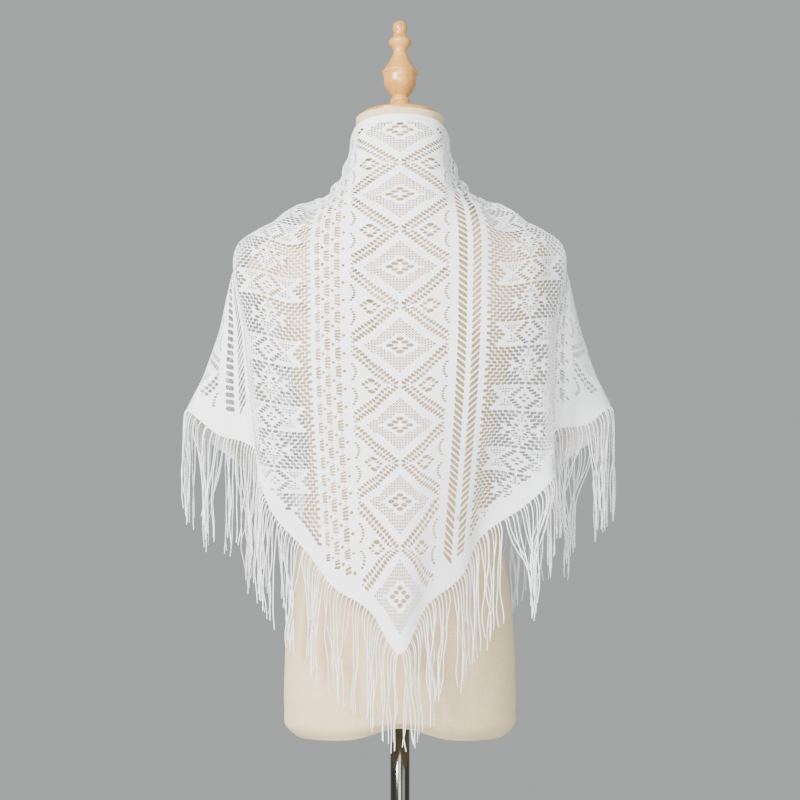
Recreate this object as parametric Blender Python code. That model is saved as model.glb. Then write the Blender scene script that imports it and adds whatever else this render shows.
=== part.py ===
# A lace triangle scarf with a long fringe, worn over the back and shoulders of a limbless dress form.
# Metres, +Z up, the scarf's back towards -Y. The origin is the centre of the base's underside.

import math

import bmesh
import bpy
import numpy as np
from mathutils.geometry import delaunay_2d_cdt

# Driving sizes of the scarf
TOP_EDGE = 1.48          # the long edge, worn round the neck
DEPTH = 0.71             # from the middle of the long edge down to the tip
HALF = TOP_EDGE / 2
WALL = 0.0013            # thickness of the knitted lace
SEAM = 0.0003            # space left between touching pieces
FOLD = 0.239             # place along the top edge where the back turns into the front
FLUTE_HEIGHT = 0.009     # of the waves in the hanging fronts
FLUTE_WIDTH = 0.066
FLUTES_FROM = 0.30       # place where the waves begin, and how far on they are full
FLUTES_GROW = 0.16
SHORT_COLUMN = 0.25      # in columns shorter than this the waves fade
FRAME_STEP = 0.0016      # step for reading the cloth's directions

# Driving sizes of the lace
REPEAT = 0.330           # width of one repeat: diamonds, chevrons, net and combs
DIAMOND_RISE = 0.1016    # from one diamond to the next below it
FIRST_DIAMOND = 0.022    # from the top edge to the middle of the first diamond
CHEVRON_PLACE = 0.091    # from the middle of the diamonds to the middle of the chevrons
CHEVRON_PITCH = 0.0261   # every third chevron is cut
PLAIN_TOP = 0.012        # plain band along the top edge
PLAIN_HEM = 0.030        # plain band along the two short edges

# Gaps of the lace that are cut through, each as its place across and down, width, height and fall:
# the flower in a diamond's middle, the pair beside the meeting of two diamonds, and one chevron
FLOWER = (
    (0, -.0073, .0104, .0043, 0), (0, .0073, .0104, .0043, 0), (-.0122, 0, .0104, .0043, 0),
    (.0122, 0, .0104, .0043, 0), (-.0060, -.0034, .0098, .0041, 0), (.0060, -.0034, .0098, .0041, 0),
    (-.0060, .0034, .0098, .0041, 0), (.0060, .0034, .0098, .0041, 0),
)
PAIR = ((0, -.0080, .0100, .0045, 0), (0, .0080, .0100, .0045, 0))
PAIR_PLACE = 0.037
CHEVRON = ((-.0080, 0, .0108, .0045, .0036), (.0080, 0, .0108, .0045, -.0036))
COLUMN_DIAMONDS = 7
COLUMN_CHEVRONS = 25

# The wall's own points: places of their columns, and the spacing down a column
WALL_PLACES = (
    0, .036, .072, .106, .139, .168, .192, .210, .226, FOLD, .252, .262, .273, .286, .302, .320,
    .340, .362, .385, .412, .442, .475, .510, .548, .590, .635, .680, .712,
)
WALL_END = 0.728         # the fronts' last column, where the wall is cut off just short of the corner
SMOOTH_STEP = 0.030      # in the back
FLUTED_STEP = 0.0165     # in the hanging fronts, from FLUTED_PLACE outwards
FLUTED_PLACE = 0.33
CLEAR_OF_GAPS = 0.010    # no point of the ground comes nearer to a gap's middle or to the hem
EDGE_STEP = 0.028
NO_SLIVER = 0.003        # outline points keep this far from a stretch's own ends

# Driving sizes of the fringe
FRINGE_LENGTH = 0.138
LENGTH_VARIES = 0.04
STRAND_WIDTH = 0.0032
STRAND_BEND = 0.011      # a strand leaves the hem, passes this far out and down, and then falls
STRAND_REACH = 0.013
STRIP_HEIGHT = 0.003
STRANDS = {"back": 25, "front": 31}
STRAND_PLACES = {"back": (0.007, FOLD - 0.006), "front": (FOLD + 0.006, 0.722)}
HEM_SLANT = math.hypot(HALF, DEPTH) / HALF   # length of hem for each length of top edge

# Driving sizes of the dress form and its stand
FORM_LIFT = 0.56         # underside of the form above the floor
NECK_TILT = math.radians(12)
NECK_FOOT = 0.70         # height on the form at which the neck begins to lean to the front
NECK_TOP = 0.8008        # height of the neck's rim, on its axis
ARCH = 0.018             # height of the notch in the form's underside, where the pole enters
POLE_RADIUS = 0.0125
BASE_RADIUS = 0.165
BASE_THICKNESS = 0.012
HUB_RADIUS = 0.030
HUB_HEIGHT = 0.045

# Columns of the cloth, from the top edge to the hem. Each row has its place along the top edge, then
# points that it passes: across from the middle, from back to front, and up from the form's underside.
COLUMNS = (
    # place  top edge              over the shoulder     yoke or chest         blade or wing
    (0.000, (.000, -.0438, .803), (.000, -.058, .752), (.000, -.094, .660), (.000, -.119, .560)),
    (0.055, (.0484, -.0224, .795), (.054, -.040, .750), (.056, -.088, .664), (.056, -.117, .560)),
    (0.096, (.062, .017, .779), (.069, .005, .733), (.096, -.068, .668), (.098, -.109, .560)),
    (0.139, (.059, .042, .748), (.089, .015, .705), (.130, -.049, .657), (.134, -.096, .560)),
    (0.198, (.045, .076, .700), (.150, .014, .678), (.176, -.031, .644), (.177, -.073, .560)),
    (0.217, (.041, .086, .686), (.140, .042, .673), (.186, -.008, .652), (.191, -.058, .560)),
    (0.236, (.038, .096, .672), (.132, .060, .668), (.207, .002, .640), (.199, -.045, .520)),
    (0.252, (.036, .106, .658), (.130, .074, .663), (.208, .012, .636), (.196, -.026, .510)),
    (0.268, (.036, .115, .645), (.127, .084, .657), (.208, .018, .632), (.191, -.014, .500)),
    (0.299, (.037, .126, .616), (.126, .099, .640), (.209, .026, .624), (.206, -.004, .510)),
    (0.333, (.038, .134, .583), (.126, .110, .614), (.210, .036, .610), (.230, .002, .505)),
    (0.365, (.039, .139, .551), (.130, .118, .582), (.213, .052, .580), (.246, .020, .490)),
    (0.400, (.040, .143, .516), (.125, .127, .545), (.206, .080, .532), (.245, .050, .460)),
    (0.440, (.041, .146, .476), (.122, .134, .497), (.188, .108, .480), (.230, .080, .430)),
    (0.500, (.042, .149, .416), (.105, .142, .430), (.150, .131, .408), (.180, .116, .370)),
    (0.570, (.043, .151, .346), (.085, .148, .352), (.110, .144, .335), (.130, .138, .312)),
    (0.650, (.043, .152, .266), (.065, .151, .268), (.075, .150, .260), (.085, .149, .248)),
    (0.740, (.043, .153, .176), (.044, .153, .175), (.045, .153, .174), (.046, .153, .173)),
)

# Where each of those columns ends at the hem, on the right and on the left
HEM = (
    # place  right                 left
    (0.000, (.000, -.150, .119), (.000, -.150, .119)),
    (0.055, (.034, -.130, .179), (.039, -.131, .173)),
    (0.096, (.075, -.114, .212), (.083, -.116, .200)),
    (0.139, (.099, -.097, .259), (.115, -.100, .241)),
    (0.198, (.160, -.086, .303), (.165, -.082, .298)),
    (0.217, (.180, -.083, .320), (.174, -.080, .320)),
    (0.236, (.195, -.075, .339), (.180, -.073, .343)),
    (0.252, (.188, -.059, .351), (.178, -.058, .352)),
    (0.268, (.184, -.044, .368), (.177, -.043, .362)),
    (0.299, (.201, -.026, .396), (.198, -.024, .380)),
    (0.333, (.242, -.018, .404), (.236, -.014, .391)),
    (0.365, (.272, .006, .425), (.275, .006, .420)),
    (0.400, (.272, .038, .406), (.272, .038, .404)),
    (0.440, (.254, .064, .384), (.254, .064, .384)),
    (0.500, (.202, .100, .336), (.202, .100, .336)),
    (0.570, (.146, .131, .288), (.146, .131, .288)),
    (0.650, (.095, .147, .234), (.095, .147, .234)),
    (0.740, (.047, .153, .172), (.047, .153, .172)),
)

# Level sections of the dress form, from its underside to the neck's rim
SECTIONS = (
    # height, half width, to the back, to the front
    (0.000, 0.134, 0.082, 0.080),
    (0.010, 0.146, 0.090, 0.088),
    (0.035, 0.150, 0.096, 0.093),
    (0.080, 0.150, 0.099, 0.095),
    (0.130, 0.148, 0.099, 0.096),
    (0.190, 0.142, 0.096, 0.094),
    (0.245, 0.133, 0.091, 0.090),
    (0.300, 0.124, 0.086, 0.087),
    (0.360, 0.119, 0.084, 0.087),
    (0.400, 0.123, 0.086, 0.094),
    (0.440, 0.133, 0.092, 0.107),
    (0.490, 0.147, 0.100, 0.118),
    (0.540, 0.170, 0.105, 0.112),
    (0.580, 0.190, 0.098, 0.097),
    (0.610, 0.197, 0.084, 0.085),
    (0.630, 0.190, 0.074, 0.076),
    (0.648, 0.164, 0.066, 0.068),
    (0.662, 0.134, 0.062, 0.062),
    (0.678, 0.104, 0.063, 0.058),
    (0.700, 0.076, 0.058, 0.056),
    (0.728, 0.061, 0.054, 0.056),
    (0.760, 0.0570, 0.0540, 0.0550),
    (NECK_TOP, 0.0576, 0.0554, 0.0550),
)

# Turned profiles, from the neck's rim upwards, as heights and radii
DISC = ((0.0, 0.050), (0.0015, 0.0515), (0.0055, 0.0515), (0.007, 0.0495))
FINIAL = (
    (0.0000, 0.0145), (0.0150, 0.0135), (0.0190, 0.0125), (0.0210, 0.0130), (0.0235, 0.0099),
    (0.0280, 0.0130), (0.0340, 0.0172), (0.0410, 0.0204), (0.0540, 0.0221), (0.0578, 0.0237),
    (0.0615, 0.0215), (0.0735, 0.0142), (0.0915, 0.0101), (0.0960, 0.0140), (0.0995, 0.0152),
    (0.1030, 0.0140), (0.1070, 0.0097), (0.1200, 0.0096), (0.1235, 0.0091), (0.1265, 0.0075),
    (0.1288, 0.0047), (0.1300, 0.0018),
)

COLOURS = {
    # finish: colour, roughness, metallic
    "lace": ((0.86, 0.86, 0.89), 0.85, 0.0),
    "linen": ((0.66, 0.58, 0.44), 0.90, 0.0),
    "wood": ((0.66, 0.42, 0.19), 0.35, 0.0),
    "chrome": ((0.78, 0.78, 0.80), 0.12, 1.0),
    "base": ((0.80, 0.79, 0.77), 0.35, 0.0),
}


def smooth(x):
    """0 below 0, 1 above 1 and an even slope between."""
    x = np.clip(x, 0, 1)
    return x * x * (3 - 2 * x)


def through(keys, rows, at):
    """Points of a smooth curve through rows, one for each key: cubics that share their slopes."""
    slopes = np.gradient(rows, keys, axis=0)
    i = np.clip(np.searchsorted(keys, at, side="right") - 1, 0, len(keys) - 2)
    step = (keys[i + 1] - keys[i])[:, None]
    s = (at[:, None] - keys[i][:, None]) / step
    return ((1 + 2 * s) * (1 - s) ** 2 * rows[i] + s * (1 - s) ** 2 * step * slopes[i]
            + s * s * (3 - 2 * s) * rows[i + 1] + s * s * (s - 1) * step * slopes[i + 1])


def even_curve(points, count):
    """A smooth curve through a column's points, read at even steps of its length."""
    points = np.array(points, float)
    keys = np.concatenate(([0], np.cumsum(np.linalg.norm(np.diff(points, axis=0), axis=1))))
    fine = through(keys, points, np.linspace(0, keys[-1], count))
    length = np.concatenate(([0], np.cumsum(np.linalg.norm(np.diff(fine, axis=0), axis=1))))
    even = np.linspace(0, length[-1], count)
    return np.stack([np.interp(even, length, fine[:, k]) for k in range(3)], axis=1)


def all_columns(count=129):
    """Every column from the left end to the right end, as places and curves."""
    places, curves = [], []
    for side, end in ((-1, 2), (1, 1)):
        rows = [(row[0], [*row[1:], hem[end]]) for row, hem in zip(COLUMNS, HEM)]
        for place, points in (rows[:0:-1] if side < 0 else rows):
            places.append(side * place)
            curves.append(even_curve([(side * x, y, z + FORM_LIFT) for x, y, z in points], count))
    return np.array(places), np.array(curves)


PLACES, CURVES = all_columns()
SLOPES = np.gradient(CURVES, PLACES, axis=0)


def column_length(u):
    """Length of the cloth below a place on the top edge."""
    return DEPTH * (1 - np.abs(u) / HALF)


def cloth(u, v):
    """The worn place of a point of the cut cloth: u along the top edge, v down from it."""
    u, v = np.asarray(u, float), np.asarray(v, float)
    share = v / np.maximum(column_length(u), 0.002) * (CURVES.shape[1] - 1)
    i = np.clip(np.searchsorted(PLACES, u, side="right") - 1, 0, len(PLACES) - 2)
    j = np.clip(share.astype(int), 0, CURVES.shape[1] - 2)
    r = (share - j)[:, None]
    step = (PLACES[i + 1] - PLACES[i])[:, None]
    s = (u - PLACES[i])[:, None] / step

    def along(table, column):
        return table[column, j] * (1 - r) + table[column, j + 1] * r

    point = ((1 + 2 * s) * (1 - s) ** 2 * along(CURVES, i) + s * (1 - s) ** 2 * step * along(SLOPES, i)
             + s * s * (3 - 2 * s) * along(CURVES, i + 1) + s * s * (s - 1) * step * along(SLOPES, i + 1))
    growth = smooth((np.abs(u) - FLUTES_FROM) / FLUTES_GROW) * smooth(column_length(u) / SHORT_COLUMN)
    wave = FLUTE_HEIGHT * growth * np.sin(2 * math.pi * v / FLUTE_WIDTH)
    point[:, 0] += 0.35 * wave * np.sign(u)
    point[:, 1] += 0.94 * wave
    return point


def cloth_frame(u, v, step=FRAME_STEP):
    """Directions along the top edge, down a column and square to the cloth."""
    along = cloth(u + step, v) - cloth(u - step, v)
    down = cloth(u, v + step) - cloth(u, v - step)
    square = np.cross(along, down)
    return tuple(d / np.linalg.norm(d, axis=1)[:, None] for d in (along, down, square))


def finish(name):
    """The material of one finish, made once."""
    if name in bpy.data.materials:
        return bpy.data.materials[name]
    colour, roughness, metallic = COLOURS[name]
    material = bpy.data.materials.new(name)
    material.use_nodes = True
    shader = material.node_tree.nodes["Principled BSDF"]
    shader.inputs["Base Color"].default_value = (*colour, 1)
    shader.inputs["Roughness"].default_value = roughness
    shader.inputs["Metallic"].default_value = metallic
    return material


def add_piece(name, points, faces, material, round_piece=True):
    """One named object from its points and faces."""
    mesh = bpy.data.meshes.new(name)
    mesh.from_pydata([tuple(p) for p in points], [], [tuple(f) for f in faces])
    mesh.validate()
    mesh.materials.append(finish(material))
    if round_piece:
        mesh.shade_smooth()
        mesh.set_sharp_from_angle(angle=math.radians(40))
    piece = bpy.data.objects.new(name, mesh)
    bpy.context.scene.collection.objects.link(piece)
    return piece


def stacked_rings(rings, bottom, top):
    """Points and faces of a skin over a stack of rings, closed by a middle point at each end."""
    count = len(rings[0])
    points = [bottom] + [p for ring in rings for p in ring] + [top]
    faces = []
    for k in range(count):
        after = (k + 1) % count
        faces.append((0, 1 + after, 1 + k))
        for r in range(len(rings) - 1):
            low, high = 1 + r * count, 1 + (r + 1) * count
            faces.append((low + k, low + after, high + after, high + k))
        last = 1 + (len(rings) - 1) * count
        faces.append((last + k, last + after, len(points) - 1))
    return points, faces


def turned(profile, sides, place):
    """A solid turned round an axis from heights and radii, put in its place by a function."""
    angles = [2 * math.pi * k / sides for k in range(sides)]
    rings = [[place(r * math.cos(a), r * math.sin(a), h) for a in angles] for h, r in profile]
    return stacked_rings(rings, place(0, 0, profile[0][0]), place(0, 0, profile[-1][0]))


def neck_lean(z):
    """How far the neck's axis lies to the front at a height on the form."""
    return math.tan(NECK_TILT) * max(0.0, z - NECK_FOOT)


def on_neck(x, y, h):
    """A point of what stands on the neck, h above its rim along the leaning axis."""
    c, s = math.cos(NECK_TILT), math.sin(NECK_TILT)
    return (x, neck_lean(NECK_TOP) + y * c + h * s, FORM_LIFT + NECK_TOP + h * c - y * s)


def make_form():
    """The covered torso: level sections, boxy at the hips, the neck's leaning to the front."""
    sides = 26
    rings = []
    for z, width, back, front in SECTIONS:
        lean = smooth((z - NECK_FOOT) / (NECK_TOP - NECK_FOOT - 0.02))
        ring = []
        for k in range(sides):
            angle = 2 * math.pi * k / sides
            c, s = math.cos(angle), math.sin(angle)
            x = width * math.copysign(abs(c) ** 0.9, c)
            y = (front if s > 0 else back) * math.copysign(abs(s) ** 0.9, s)
            notch = ARCH * math.exp(-(x / 0.045) ** 2) * smooth(1 - z / 0.03)
            height = z + notch - y * math.tan(NECK_TILT) * lean
            ring.append((x, y + neck_lean(z), FORM_LIFT + height))
        rings.append(ring)
    seat = [(1.6 * POLE_RADIUS * math.cos(2 * math.pi * k / sides),
             1.6 * POLE_RADIUS * math.sin(2 * math.pi * k / sides), FORM_LIFT + ARCH) for k in range(sides)]
    middle = (0, 0, FORM_LIFT + ARCH)
    points, faces = stacked_rings([seat] + rings, middle, on_neck(0, 0, 0))
    add_piece("form_body", points, faces, "linen")


def make_top():
    """The wooden disc on the neck and the turned finial on it."""
    def disc_place(x, y, h):
        return on_neck(x, y, h + SEAM)

    def finial_place(x, y, h):
        return on_neck(x, y, h + DISC[-1][0] + 2 * SEAM)

    add_piece("neck_disc", *turned(DISC, 28, disc_place), "wood")
    add_piece("finial", *turned(FINIAL, 18, finial_place), "wood")


def make_stand():
    """A tube from the form's underside into the hub of a flat round base."""
    def upright(x, y, h):
        return (x, y, h)

    edge = 0.003
    base = ((0, BASE_RADIUS - edge), (edge, BASE_RADIUS), (BASE_THICKNESS - edge, BASE_RADIUS),
            (BASE_THICKNESS, BASE_RADIUS - edge), (BASE_THICKNESS + edge, HUB_RADIUS + edge),
            (BASE_THICKNESS + 2 * edge, HUB_RADIUS), (HUB_HEIGHT - edge, HUB_RADIUS - edge),
            (HUB_HEIGHT, HUB_RADIUS - 2 * edge))
    add_piece("stand_base", *turned(base, 36, upright), "base")
    pole = ((HUB_HEIGHT + SEAM, POLE_RADIUS), (FORM_LIFT + ARCH - SEAM, POLE_RADIUS))
    add_piece("stand_pole", *turned(pole, 20, upright), "chrome")


def leaf(u, v, length, height, fall=0.0):
    """A gap of the lace: a four-cornered leaf, one end lower than the other by fall."""
    return [(u - length / 2, v - fall / 2), (u, v - height / 2), (u + length / 2, v + fall / 2),
            (u, v + height / 2)]


def motif(leaves, u, v):
    """The gaps of one motif round its middle."""
    return [leaf(u + across, v + down, *sizes) for across, down, *sizes in leaves]


def lace_gaps():
    """The gaps that are cut through: diamonds' flowers, small flowers and chevrons, as outlines."""
    gaps = []
    for column in (-1, 0, 1):
        middle = column * REPEAT
        for k in range(COLUMN_DIAMONDS):
            v = FIRST_DIAMOND + k * DIAMOND_RISE
            gaps += motif(FLOWER, middle, v)
            if column == 0:
                gaps += motif(PAIR, -PAIR_PLACE, v + DIAMOND_RISE / 2)
                gaps += motif(PAIR, PAIR_PLACE, v + DIAMOND_RISE / 2)
        for k in range(1, COLUMN_CHEVRONS + 1):
            gaps += motif(CHEVRON, middle + CHEVRON_PLACE, k * CHEVRON_PITCH)
    return gaps


def gap_fits(gap, low, high):
    """True if a gap lies in a stretch of the cloth, inside its plain bands."""
    for u, v in gap:
        to_hem = (column_length(u) - v) / HEM_SLANT
        if not (low + NO_SLIVER < u < high - NO_SLIVER and v > PLAIN_TOP and to_hem > PLAIN_HEM):
            return False
    return True


def hem_places(stretch):
    """Places along the hem where the strands of one side of a stretch are looped in."""
    return np.linspace(*STRAND_PLACES[stretch], STRANDS[stretch])


def lattice_columns(low, high):
    """Places of the wall's own points: close at the folds of the shoulder, wider elsewhere."""
    places = sorted({s * u for u in WALL_PLACES for s in (-1, 1)})
    return [u for u in places if low + SEAM < u < high - SEAM]


def stretch_outline(low, high):
    """The outline of a stretch in the flat, and which columns of points it takes."""
    columns = lattice_columns(low, high)
    top = [(low, 0.0)] + [(u, 0.0) for u in columns] + [(high, 0.0)]
    hem_u = [s * u for s in (-1, 1) for part in ("back", "front") for u in hem_places(part)] + [0.0]
    hem_u = sorted((u for u in hem_u if low + NO_SLIVER < u < high - NO_SLIVER), reverse=True)
    hem = [(u, float(column_length(u))) for u in [high] + hem_u + [low]]

    def side(u):
        length = float(column_length(u))
        count = max(1, round(length / EDGE_STEP))
        return [(u, length * k / count) for k in range(1, count)]

    return top + side(high) + hem + side(low)[::-1]


def cut_wall(name, low, high, gaps):
    """One stretch of the lace as a thin wall: cut in the flat, gaps and all, then worn."""
    outline = stretch_outline(low, high)
    inside = [g for g in gaps if gap_fits(g, low, high)]
    free = []
    middles = np.array([np.mean(g, axis=0) for g in inside])
    for n, u in enumerate(lattice_columns(low, high)):
        pitch = FLUTED_STEP if abs(u) > FLUTED_PLACE else SMOOTH_STEP
        last = float(column_length(u)) - CLEAR_OF_GAPS
        for v in np.arange(pitch * (1 + 0.5 * (n % 2)), last, pitch):
            if np.hypot(*(middles - (u, v)).T).min() > CLEAR_OF_GAPS:
                free.append((u, float(v)))
    loops = [outline] + inside
    points, faces = [], []
    for loop in loops:
        faces.append(list(range(len(points), len(points) + len(loop))))
        points += loop
    points += free
    flat, _, cells, _, _, owners = delaunay_2d_cdt(points, [], faces, 0, 1e-7, True)
    cells = [c for c, owner in zip(cells, owners) if 0 in owner and len(owner) == 1]
    flat = np.array([tuple(p) for p in flat])
    used = sorted({k for c in cells for k in c})
    renumber = {k: n for n, k in enumerate(used)}
    flat = flat[used]
    cells = [tuple(renumber[k] for k in c) for c in cells]
    a, b, c = (flat[[cell[k] for cell in cells]] for k in range(3))
    turn = (b - a)[:, 0] * (c - a)[:, 1] - (b - a)[:, 1] * (c - a)[:, 0]
    cells = [cell if t > 0 else cell[::-1] for cell, t in zip(cells, turn)]
    middle = cloth(flat[:, 0], flat[:, 1])
    square = cloth_frame(flat[:, 0], np.maximum(flat[:, 1], FRAME_STEP))[2]
    count = len(flat)
    solid = np.concatenate((middle + square * WALL / 2, middle - square * WALL / 2))
    edges = {(c[k], c[(k + 1) % 3]) for c in cells for k in range(3)}
    rim = [(q, p, p + count, q + count) for p, q in edges if (q, p) not in edges]
    back = [tuple(k + count for k in c[::-1]) for c in cells]
    add_piece(name, solid, cells + back + sorted(rim), "lace")
    print(name, len(inside), "gaps,", 2 * len(cells) + 2 * len(rim), "triangles")


def strand_path(root, out, length):
    """The middle of a strand: square out of the hem, over, and then straight down."""
    down = np.array((0.0, 0.0, -1.0))
    return [root, root + (out + down) * STRAND_BEND, root + out * STRAND_REACH + down * length]


def make_fringe(name, stretch, side):
    """A narrow strip along one stretch of hem, with its strands hanging from it."""
    places = hem_places(stretch) * side
    half_root = STRAND_WIDTH / 2 / HEM_SLANT
    u = np.sort(np.concatenate((places - half_root, places + half_root)))
    v = column_length(u)
    along, down, square = cloth_frame(u, v - FRAME_STEP)
    slope = math.atan2(DEPTH, HALF)
    hem_along = along * math.cos(slope) - side * down * math.sin(slope)
    out = side * along * math.sin(slope) + down * math.cos(slope)
    edge = cloth(u, v)
    points, faces = [], []
    for k in range(len(u)):
        low, high = edge[k] + out[k] * 2 * SEAM, edge[k] + out[k] * (2 * SEAM + STRIP_HEIGHT)
        half = square[k] * WALL / 2
        points += [low + half, low - half, high - half, high + half]
    for k in range(len(u) - 1):
        a, b = 4 * k, 4 * k + 4
        for m in range(4):
            n = (m + 1) % 4
            if m == 2 and k % 2 == 0:
                continue
            faces.append((a + m, b + m, b + n, a + n))
    faces += [(0, 1, 2, 3), tuple(4 * len(u) - 4 + m for m in (3, 2, 1, 0))]
    for n in range(0, len(u), 2):
        root = (points[4 * n + 2] + points[4 * n + 3] + points[4 * n + 6] + points[4 * n + 7]) / 4
        across = (hem_along[n] + hem_along[n + 1]) / 2
        across[2] = 0
        across /= np.linalg.norm(across)
        over = (out[n] + out[n + 1]) / 2
        thick = np.cross(across, (0, 0, 1.0))
        if np.dot(thick, square[n]) < 0:
            thick = -thick
        ring = [4 * n + 2, 4 * n + 6, 4 * n + 7, 4 * n + 3]
        length = FRINGE_LENGTH * (1 - LENGTH_VARIES * math.sin(2.3 * n))
        for place in strand_path(root, over, length)[1:]:
            first = len(points)
            for s, t in ((-1, -1), (1, -1), (1, 1), (-1, 1)):
                points.append(place + across * s * STRAND_WIDTH / 2 + thick * t * WALL / 2)
            fresh = list(range(first, first + 4))
            faces += [(ring[m], ring[(m + 1) % 4], fresh[(m + 1) % 4], fresh[m]) for m in range(4)]
            ring = fresh
        faces.append(tuple(ring))
    piece = add_piece(name, points, faces, "lace", round_piece=False)
    turn_outwards(piece)


def turn_outwards(piece):
    """Turns every face of a closed piece to the outside."""
    work = bmesh.new()
    work.from_mesh(piece.data)
    bmesh.ops.recalc_face_normals(work, faces=work.faces)
    work.to_mesh(piece.data)
    work.free()


def make_scarf():
    """The lace in its three stretches, then the fringe of each."""
    gaps = lace_gaps()
    cut_wall("scarf_back", -FOLD + SEAM / 2, FOLD - SEAM / 2, gaps)
    cut_wall("scarf_front_left", -WALL_END, -FOLD - SEAM / 2, gaps)
    cut_wall("scarf_front_right", FOLD + SEAM / 2, WALL_END, gaps)
    for side, hand in ((-1, "left"), (1, "right")):
        for stretch in ("back", "front"):
            make_fringe(f"fringe_{stretch}_{hand}", stretch, side)


for old in list(bpy.data.objects):
    bpy.data.objects.remove(old)
make_form()
make_top()
make_stand()
make_scarf()
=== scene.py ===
import math

import bpy
import numpy as np
from mathutils.geometry import delaunay_2d_cdt
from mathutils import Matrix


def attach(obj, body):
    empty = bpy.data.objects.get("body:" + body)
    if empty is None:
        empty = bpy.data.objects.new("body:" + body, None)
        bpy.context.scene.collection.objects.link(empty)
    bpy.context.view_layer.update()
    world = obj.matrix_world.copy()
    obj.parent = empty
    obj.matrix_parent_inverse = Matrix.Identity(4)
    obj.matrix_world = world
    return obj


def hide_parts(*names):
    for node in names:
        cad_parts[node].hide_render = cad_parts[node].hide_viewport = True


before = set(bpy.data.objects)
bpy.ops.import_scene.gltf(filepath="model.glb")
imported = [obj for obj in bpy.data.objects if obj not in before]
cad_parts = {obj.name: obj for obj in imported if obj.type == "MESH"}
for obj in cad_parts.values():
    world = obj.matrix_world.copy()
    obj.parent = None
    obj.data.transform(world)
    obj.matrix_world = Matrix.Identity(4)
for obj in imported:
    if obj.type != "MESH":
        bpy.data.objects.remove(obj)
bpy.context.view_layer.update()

# A white lace triangle scarf with a long fringe, seen from behind on a dress form.
# Metres, +Z up, the scarf's back towards -Y. Cloth places: u along the top edge, v down from it.

formLift = 0.56
neckTilt = math.radians(12)
neckFoot = 0.70
neckTop = 0.8008
poleRadius = 0.0125


# Shared curves

def smooth(x):
    x = np.clip(x, 0, 1)
    return x * x * (3 - 2 * x)


def through(keys, rows, at):
    # cubics between the rows that share their slopes
    slopes = np.gradient(rows, keys, axis=0)
    i = np.clip(np.searchsorted(keys, at, side="right") - 1, 0, len(keys) - 2)
    step = (keys[i + 1] - keys[i])[:, None]
    s = (at[:, None] - keys[i][:, None]) / step
    return ((1 + 2 * s) * (1 - s) ** 2 * rows[i] + s * (1 - s) ** 2 * step * slopes[i]
            + s * s * (3 - 2 * s) * rows[i + 1] + s * s * (s - 1) * step * slopes[i + 1])


def evenCurve(points, count):
    points = np.array(points, float)
    keys = np.concatenate(([0], np.cumsum(np.linalg.norm(np.diff(points, axis=0), axis=1))))
    fine = through(keys, points, np.linspace(0, keys[-1], count))
    length = np.concatenate(([0], np.cumsum(np.linalg.norm(np.diff(fine, axis=0), axis=1))))
    even = np.linspace(0, length[-1], count)
    return np.stack([np.interp(even, length, fine[:, k]) for k in range(3)], axis=1)


def unit(vectors):
    return vectors / np.maximum(np.linalg.norm(vectors, axis=-1, keepdims=True), 1e-12)


# Materials: a small writer of shader formulas, so that each pattern reads as one line

def newMaterial(name, colour, roughness, metallic=0.0):
    material = bpy.data.materials.new(name)
    material.use_nodes = True
    shader = material.node_tree.nodes["Principled BSDF"]
    shader.inputs["Base Color"].default_value = (*colour, 1)
    shader.inputs["Roughness"].default_value = roughness
    shader.inputs["Metallic"].default_value = metallic
    return material, material.node_tree, shader


def plug(tree, value, socket):
    if isinstance(value, bpy.types.NodeSocket):
        tree.links.new(value, socket)
    else:
        socket.default_value = value


def maths(tree, operation, *values):
    node = tree.nodes.new("ShaderNodeMath")
    node.operation = operation
    for value, socket in zip(values, node.inputs):
        plug(tree, value, socket)
    return node.outputs[0]


def wave(tree, place, period, shift=0.0):
    # sine of 2 pi (place / period + shift)
    turns = maths(tree, "MULTIPLY_ADD", place, 2 * math.pi / period, shift)
    return maths(tree, "SINE", turns)


def noise(tree, vector, scale, detail=3.0):
    node = tree.nodes.new("ShaderNodeTexNoise")
    node.inputs["Scale"].default_value = scale
    node.inputs["Detail"].default_value = detail
    tree.links.new(vector, node.inputs["Vector"])
    return node.outputs["Fac"]


def stretched(tree, vector, scale):
    node = tree.nodes.new("ShaderNodeMapping")
    node.inputs["Scale"].default_value = scale
    tree.links.new(vector, node.inputs["Vector"])
    return node.outputs["Vector"]


def objectPlace(tree):
    return tree.nodes.new("ShaderNodeTexCoord").outputs["Object"]


def flatPlace(tree, layer):
    node = tree.nodes.new("ShaderNodeUVMap")
    node.uv_map = layer
    parts = tree.nodes.new("ShaderNodeSeparateXYZ")
    tree.links.new(node.outputs[0], parts.inputs[0])
    return node.outputs[0], parts.outputs[0], parts.outputs[1]


def blendColours(tree, factor, first, second, socket):
    node = tree.nodes.new("ShaderNodeMix")
    node.data_type = "RGBA"
    plug(tree, factor, node.inputs["Factor"])
    node.inputs["A"].default_value = (*first, 1)
    node.inputs["B"].default_value = (*second, 1)
    tree.links.new(node.outputs["Result"], socket)


def addBump(tree, height, strength, distance, shader):
    node = tree.nodes.new("ShaderNodeBump")
    node.inputs["Strength"].default_value = strength
    node.inputs["Distance"].default_value = distance
    tree.links.new(height, node.inputs["Height"])
    tree.links.new(node.outputs["Normal"], shader.inputs["Normal"])


laceLook = {
    "colour": (0.93, 0.935, 0.965),
    "shade": (0.88, 0.89, 0.93),
    "wale": 0.0026,
    "stitch": 0.0021,
    "twist": 0.004,
}


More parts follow.
